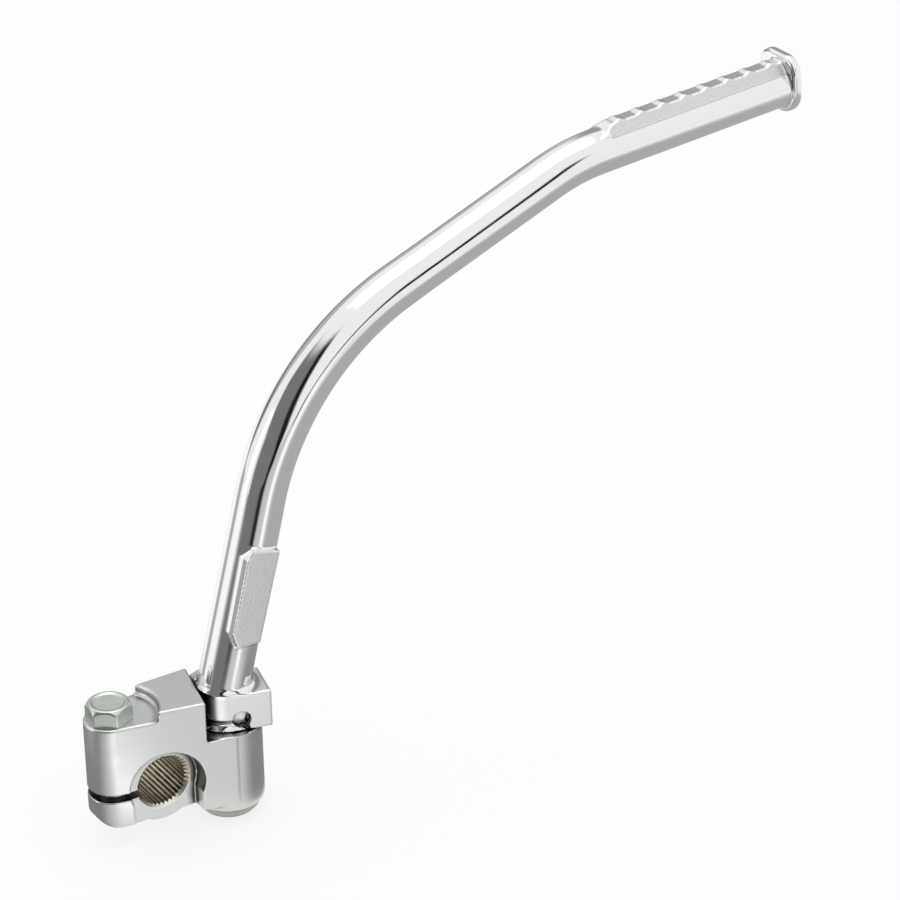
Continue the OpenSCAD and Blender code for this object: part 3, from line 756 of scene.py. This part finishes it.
# %% Arm chrome
# The second colour is the painted shade of closed places, and also the matte tread's greyer tone
ARM_COLOUR, ARM_SHADE_AND_MATTE_COLOUR = (0.83, 0.84, 0.83), (0.10, 0.10, 0.085)
MATTE_ROUGH, MILLED_ROUGH = 0.45, 0.34
# The heights in metres between which the raised pad lies
PAD_LOW_Z, PAD_HIGH_Z = 0.036, 0.075
mat, nodes, links, shader, place = finish("bright_chrome", ARM_COLOUR, 0.08)
gloss = polish(nodes, links, shader, place, 0.075, 0.03, 0.00002, 0.0000012)
axes = add(nodes, "SeparateXYZ", links, Vector=place).outputs
# The raised pad's face and the tread are left matte
face = calc(nodes, links, "LESS_THAN", axes["Y"], (SPINDLE_Y - PAD_FACE + 0.25) * MM)
pad_zone = calc(nodes, links, "MULTIPLY", face, part_mask(nodes, links, axes["Z"], PAD_LOW_Z, PAD_HIGH_Z))
facet = mesh_value(nodes, "facet")
as_cast = calc(nodes, links, "MAXIMUM", pad_zone, facet)
milled = calc(nodes, links, "MULTIPLY", mesh_value(nodes, "milled"), MILLED_ROUGH)
dull = calc(nodes, links, "MAXIMUM", calc(nodes, links, "MULTIPLY", as_cast, MATTE_ROUGH), milled)
links.new(calc(nodes, links, "MAXIMUM", gloss, dull), shader.inputs["Roughness"])
# The matte places have a pebbled skin, a little greyer than the polished metal
grit = add(nodes, "TexNoise", links, Vector=place, Scale=1400.0, Detail=2.0).outputs["Fac"]
height = calc(nodes, links, "MULTIPLY", grit, as_cast)
polished = shader.inputs["Normal"].links[0].from_socket
pebbled = add(nodes, "Bump", links, Height=height, Distance=0.00012, Strength=1.0, Normal=polished)
links.new(pebbled.outputs["Normal"], shader.inputs["Normal"])
# Painted shade in closed places, and the matte tread's greyer tone, darken the base colour
closed = calc(nodes, links, "MAXIMUM", mesh_value(nodes, "painted_shade"),
              calc(nodes, links, "MULTIPLY", facet, 0.24))
darken(nodes, links, shader, closed, ARM_COLOUR, ARM_SHADE_AND_MATTE_COLOUR, 0.12, 0.6)
arm.data.materials.append(mat)
print(mat.name, len(nodes), "nodes")

# %% Knuckle chrome
# The second colour is the painted shade in the slit, the recess and under the collar
KNUCKLE_COLOUR, KNUCKLE_SHADE_COLOUR = (0.68, 0.69, 0.68), (0.09, 0.09, 0.075)
mat, nodes, links, shader, place = finish("satin_chrome", KNUCKLE_COLOUR, 0.3)
gloss = polish(nodes, links, shader, place, 0.3, 0.05, 0.00004, 0.0000015)
links.new(gloss, shader.inputs["Roughness"])
# Painted shade darkens the base colour in the closed places
darken(nodes, links, shader, mesh_value(nodes, "painted_shade"), KNUCKLE_COLOUR, KNUCKLE_SHADE_COLOUR, 0.1, 0.5)
knuckle.data.materials.append(mat)
print(mat.name, len(nodes), "nodes")

# %% Bare steel in the bore
mat, nodes, links, shader, place = finish("bare_bore_steel", (0.30, 0.26, 0.19), 0.35)
axes = add(nodes, "SeparateXYZ", links, Vector=place).outputs
gloss = polish(nodes, links, shader, place, 0.34, 0.08, 0.00002, 0.00001)
links.new(gloss, shader.inputs["Roughness"])
film = add(nodes, "TexNoise", links, Vector=place, Scale=420.0, Detail=5.0).outputs["Fac"]
tone = add(nodes, "ValToRGB", links, Fac=film)
tone.color_ramp.elements[0].color = (0.22, 0.185, 0.125, 1)
tone.color_ramp.elements[1].color = (0.46, 0.41, 0.30, 1)
tone.color_ramp.elements[0].position, tone.color_ramp.elements[1].position = 0.35, 0.68
# A painted highlight along the middle of each tooth
tips = calc(nodes, links, "MULTIPLY", mesh_value(nodes, "tooth_highlight"), 0.75)
# A painted highlight lies on the tooth ends along the lower rim alone: as far in as the lead-in cone, and
# fading upwards
rim = ramp(nodes, links, axes["Y"], (-BORE_FRONT + LEAD_DEPTH) * MM, (-BORE_FRONT + 1.15) * MM, 1.0, 0.0)
below = ramp(nodes, links, axes["Z"], -5.5 * MM, -2.5 * MM, 1.0, 0.0)
rim_highlight = calc(nodes, links, "MULTIPLY", rim, below)
bright = add(nodes, "MixRGB", links, i0=calc(nodes, links, "MAXIMUM", tips, rim_highlight), i1=tone.outputs["Color"])
bright.inputs[2].default_value = (0.86, 0.84, 0.78, 1)
links.new(bright.outputs["Color"], shader.inputs["Base Color"])
lining.data.materials.append(mat)
print(mat.name, len(nodes), "nodes")

# %% Zinc on the bolt
mat, nodes, links, shader, place = finish("zinc_plate", (0.66, 0.70, 0.65), 0.3)
gloss = polish(nodes, links, shader, place, 0.3, 0.07, 0.00003, 0.00001)
links.new(gloss, shader.inputs["Roughness"])
cloud = add(nodes, "TexNoise", links, Vector=place, Scale=260.0, Detail=4.0).outputs["Fac"]
tone = add(nodes, "ValToRGB", links, Fac=cloud)
tone.color_ramp.elements[0].color = (0.52, 0.58, 0.53, 1)
tone.color_ramp.elements[1].color = (0.74, 0.78, 0.73, 1)
links.new(tone.outputs["Color"], shader.inputs["Base Color"])
bolt.data.materials.append(mat)
print(mat.name, len(nodes), "nodes")

# %% Steel of the washer, circlip, ball and spring
# For each node: the finish's name, its colour, its roughness and the height of its grain in metres
PLAIN = {
    "thrust_washer": ("washer_finish", (0.40, 0.39, 0.35), 0.26, 0.00001),
    "circlip": ("circlip_finish", (0.36, 0.35, 0.32), 0.32, 0.00001),
    "detent_ball": ("ball_finish", (0.80, 0.80, 0.82), 0.06, 0.000001),
    "detent_spring": ("spring_finish", (0.50, 0.50, 0.50), 0.3, 0.000005),
}
for node_name, (title, colour, rough, grain) in PLAIN.items():
    mat, nodes, links, shader, place = finish(title, colour, rough)
    links.new(polish(nodes, links, shader, place, rough, 0.04, 0.00001, grain), shader.inputs["Roughness"])
    for material_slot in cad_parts[node_name].material_slots:
        material_slot.material = mat
print("materials:", [m.name for m in bpy.data.materials])

# %% [markdown]
# ## Floor, backdrop and light
# A mirror finish needs something to mirror. The white room is the world's colour, the softboxes give the
# bright bands along the bar, and grey and dark cards, which the camera doesn't see, give the edges between
# them. The floor is nearly white where the camera or the metal looks at it, and pale paint for the light
# that falls on it, so that it keeps the lever's soft shadow and doesn't light the lever from below.

# %% Helpers for the room
def empty_nodes(owner):
    """Nodes and links of a material or a world, with the ones it came with taken out."""
    owner.use_nodes = True
    owner.node_tree.nodes.clear()
    return owner.node_tree.nodes, owner.node_tree.links


def looked_at(nodes, links):
    """One for a ray from the camera, a mirror or glass, and nought for the light that falls on things."""
    seen = add(nodes, "LightPath").outputs
    mirrored = calc(nodes, links, "MAXIMUM", seen["Is Glossy Ray"], seen["Is Transmission Ray"])
    return calc(nodes, links, "MAXIMUM", seen["Is Camera Ray"], mirrored)


# %% Floor
FLOOR_Z, FLOOR_WHITE = -0.0177, 0.8
mat = bpy.data.materials.new("pale_floor")
nodes, links = empty_nodes(mat)
white_part = calc(nodes, links, "MULTIPLY", looked_at(nodes, links), FLOOR_WHITE)
paint = add(nodes, "BsdfDiffuse", links, Color=(0.86, 0.86, 0.86, 1))
glow = add(nodes, "Emission", links, Color=(1, 1, 1, 1), Strength=1.0)
mixed = add(nodes, "MixShader", links, i0=white_part, i1=paint.outputs[0], i2=glow.outputs[0])
links.new(mixed.outputs[0], add(nodes, "OutputMaterial").inputs["Surface"])
mesh = bpy.data.meshes.new("floor")
mesh.from_pydata([(-4, -4, FLOOR_Z), (4, -4, FLOOR_Z), (4, 4, FLOOR_Z), (-4, 4, FLOOR_Z)], [], [(0, 1, 2, 3)])
mesh.materials.append(mat)
obj = bpy.data.objects.new("floor", mesh)
bpy.context.collection.objects.link(obj)
print("floor at", FLOOR_Z, "m")

# %% World
world = bpy.data.worlds.new("white_room")
bpy.context.scene.world = world
nodes, links = empty_nodes(world)
rays = looked_at(nodes, links)
room = add(nodes, "Background", links, Color=(0.9, 0.9, 0.9, 1), Strength=1.0)
white = add(nodes, "Background", links, Color=(1, 1, 1, 1), Strength=1.0)
mixed = add(nodes, "MixShader", links, i0=rays, i1=room.outputs[0], i2=white.outputs[0])
links.new(mixed.outputs[0], add(nodes, "OutputWorld").inputs["Surface"])
print("world:", world.name, len(nodes), "nodes")

# %% Softboxes
# The middle of the lever, in metres, at which the lamps point and round which the cards stand
MIDDLE = (0.1, 0.0, 0.1)


def softbox(name, place, size, glow):
    """Rectangular area lamp whose -Z points at the lever. Its power is pi times its area times how bright it
    looks."""
    lamp = bpy.data.lights.new(name, "AREA")
    lamp.shape, lamp.size, lamp.size_y = "RECTANGLE", size[0], size[1]
    lamp.energy = glow * math.pi * size[0] * size[1]
    obj = bpy.data.objects.new(name, lamp)
    obj.location = place
    obj.rotation_euler = (Vector(MIDDLE) - Vector(place)).to_track_quat("-Z", "Y").to_euler()
    bpy.context.collection.objects.link(obj)
    print(name, round(lamp.energy, 2), "W")


softbox("overhead", (0.1, 0.1, 1.2), (0.9, 0.9), 1.18)
softbox("left_strip", (-0.95, 0.35, 0.2), (0.22, 0.7), 1.5)

# %% Cards that only the metal sees
card_glow = bpy.data.materials.new("card_glow")
nodes, links = empty_nodes(card_glow)
glow = add(nodes, "Emission", links, Strength=mesh_value(nodes, "glow"))
clear = add(nodes, "BsdfTransparent")
mixed = add(nodes, "MixShader", links, i0=mesh_value(nodes, "cover"), i1=clear.outputs[0], i2=glow.outputs[0])
links.new(mixed.outputs[0], add(nodes, "OutputMaterial").inputs["Surface"])


def smooth(t):
    """Soft step from 0 to 1: 3 t squared less 2 t cubed, held at both ends."""
    t = np.clip(t, 0, 1)
    return t * t * (3 - 2 * t)


def put_card(name, points, glow, cover):
    """Open sheet of a grid of points in metres, seen by the metal alone. Each point has its glow and its
    cover."""
    rows, cols = glow.shape
    i, k = np.meshgrid(np.arange(rows - 1), np.arange(cols - 1), indexing="ij")
    quads = np.stack([i * cols + k, i * cols + k + 1, (i + 1) * cols + k + 1, (i + 1) * cols + k], axis=-1)
    mesh = bpy.data.meshes.new(name)
    mesh.from_pydata(points.reshape(-1, 3).tolist(), [], quads.reshape(-1, 4).tolist())
    mesh.materials.append(card_glow)
    obj = bpy.data.objects.new(name, mesh)
    bpy.context.collection.objects.link(obj)
    obj.visible_camera = obj.visible_diffuse = obj.visible_shadow = False
    set_values(obj, "glow", glow)
    set_values(obj, "cover", cover)


# %% Cards on a dome about the lever
def dome_card(name, rise, left, right, level, distance, soft):
    """Part of a dome about the lever: for each rise above the horizon, from one azimuth to another, in
    degrees. Azimuth 0 lies in front and 90 to the right. It has an even glow, stands at a distance in
    metres, and fades out over the soft share of its width and the upper fifth of its height."""
    up_share, over_share = np.linspace(0, 1, 41)[:, None], np.linspace(0, 1, 33)[None, :]
    e = np.radians(rise[0] + (rise[-1] - rise[0]) * up_share)
    low, high = (np.interp(np.degrees(e), rise, side) for side in (left, right))
    a = np.radians(low + (high - low) * over_share)
    flat, height = distance * np.cos(e), MIDDLE[2] + distance * np.sin(e)
    points = np.stack([MIDDLE[0] + flat * np.sin(a), -flat * np.cos(a), height + 0 * a], axis=-1)
    sides = smooth(over_share / soft) * smooth((1 - over_share) / soft)
    put_card(name, points, level + 0 * a, sides * smooth((1 - up_share) / 0.2))


dome_card("left_grey", (-8, 15, 33, 55), (-92, -94, -118, -124), (-30, -32, -44, -52), 0.2, 1.0, 0.14)
dome_card("left_edge", (-8, 0, 20, 55), (-42, -40, -50, -66), (-23, -19, -30, -42), 0.012, 0.95, 0.3)
dome_card("back_grey", (-6, 36), (150, 150), (222, 210), 0.5, 1.0, 0.15)
dome_card("back_right_grey", (-6, 50), (110, 110), (160, 158), 0.36, 1.0, 0.2)
dome_card("back_dark", (-5, 9), (145, 145), (220, 220), 0.2, 0.95, 0.2)
line_left, line_right = (-11, -10, -5, 1, 6, 11, 15), (-6, -4, 5, 15, 22, 27, 30)
dome_card("thin_line", (-6, 0, 6, 12, 20, 28, 36), line_left, line_right, 0.01, 0.9, 0.3)

# %% Stripes on the floor
# The lower bar and the knuckle look down at the floor, so their bands are soft stripes that run out from the
# knuckle. Each stripe has its two sides as azimuths in degrees, its glow, and the width over which it fades.
# Between the stripes the floor has its base glow.
FAR_BASE, NEAR_BASE = 0.7, 0.86
FAR_STRIPES = [
    (-195, -157, 1.1, 16),
    (-150, -134, 0.42, 12),
    (-130, -96, 1.1, 14),
    (-90, -24, 0.2, 18),
    (-22, -4, 0.62, 8),
    (2, 15, 1.15, 8),
    (22, 140, 0.46, 18),
]
NEAR_STRIPES = [(-180, -70, 0.27, 40), (-44, -20, 1.5, 22), (34, 150, 0.3, 40)]
print(len(FAR_STRIPES), "far and", len(NEAR_STRIPES), "near stripes")


def striped(azimuth, base, stripes):
    """Glow round the ring: the base, moved to each stripe's glow as far as its soft sides let it."""
    total = base + 0 * azimuth
    for start, end, level, soft in stripes:
        here = (azimuth - start + 180) % 360 - 180
        width = end - start
        total += (level - total) * smooth((here + soft / 2) / soft) * smooth((width - here + soft / 2) / soft)
    return total


# %% One soft ring on the floor
# The ring lies just above the floor about this X, between these two reaches, all in metres
RING_X, RING_FROM, RING_TO, RING_LIFT = 0.01, 0.03, 1.6, 0.0005
azimuth, reach = np.linspace(-180, 180, 361)[:, None], np.geomspace(RING_FROM, RING_TO, 40)[None, :]
far_glow, near_glow = striped(azimuth, FAR_BASE, FAR_STRIPES), striped(azimuth, NEAR_BASE, NEAR_STRIPES)
glow = near_glow + (far_glow - near_glow) * smooth((reach - 0.08) / 0.06)
# A dark wedge further out gives the fine black band along the bar
glow += (0.015 - glow) * striped(azimuth, 0.0, [(-42, -25, 1.0, 14)]) * smooth((reach - 0.15) / 0.15)
# Far out in front and to the right the floor is as bright as the room, so the pedal shows no hard horizon
glow += (1.0 - glow) * striped(azimuth, 0.0, [(18, 125, 1.0, 20)]) * smooth((reach - 0.36) / 0.3)
a = np.radians(azimuth)
height = FLOOR_Z + RING_LIFT + 0 * a * reach
points = np.stack([RING_X + reach * np.sin(a), -reach * np.cos(a), height], axis=-1)
put_card("floor_ring", points, glow, np.ones(glow.shape))

# %% [markdown]
# ## The camera
# The camera's place and its three axes come from the perspective of the photograph, worked out once from
# edges whose directions are known. A long lens a metre away keeps the bar's bends in the proportions that
# the photograph shows.

# %% Camera
camera_data = bpy.data.cameras.new("camera")
camera_data.sensor_width, camera_data.lens = 36, 147.8
camera_data.clip_start, camera_data.clip_end = 0.05, 20
camera = bpy.data.objects.new("camera", camera_data)
bpy.context.collection.objects.link(camera)
right = (0.84138, -0.54023, -0.01503)
up = (0.26083, 0.38156, 0.88679)
back = (-0.47333, -0.75004, 0.46194)
camera_at = (-0.4051, -0.8054, 0.5691)
rows = [(*row, place) for *row, place in zip(right, up, back, camera_at)]
camera.matrix_world = Matrix([*rows, (0, 0, 0, 1)])
bpy.context.scene.camera = camera
bpy.context.scene.view_settings.view_transform = "Standard"
print("camera at", camera_at, "m, lens", camera_data.lens, "mm")
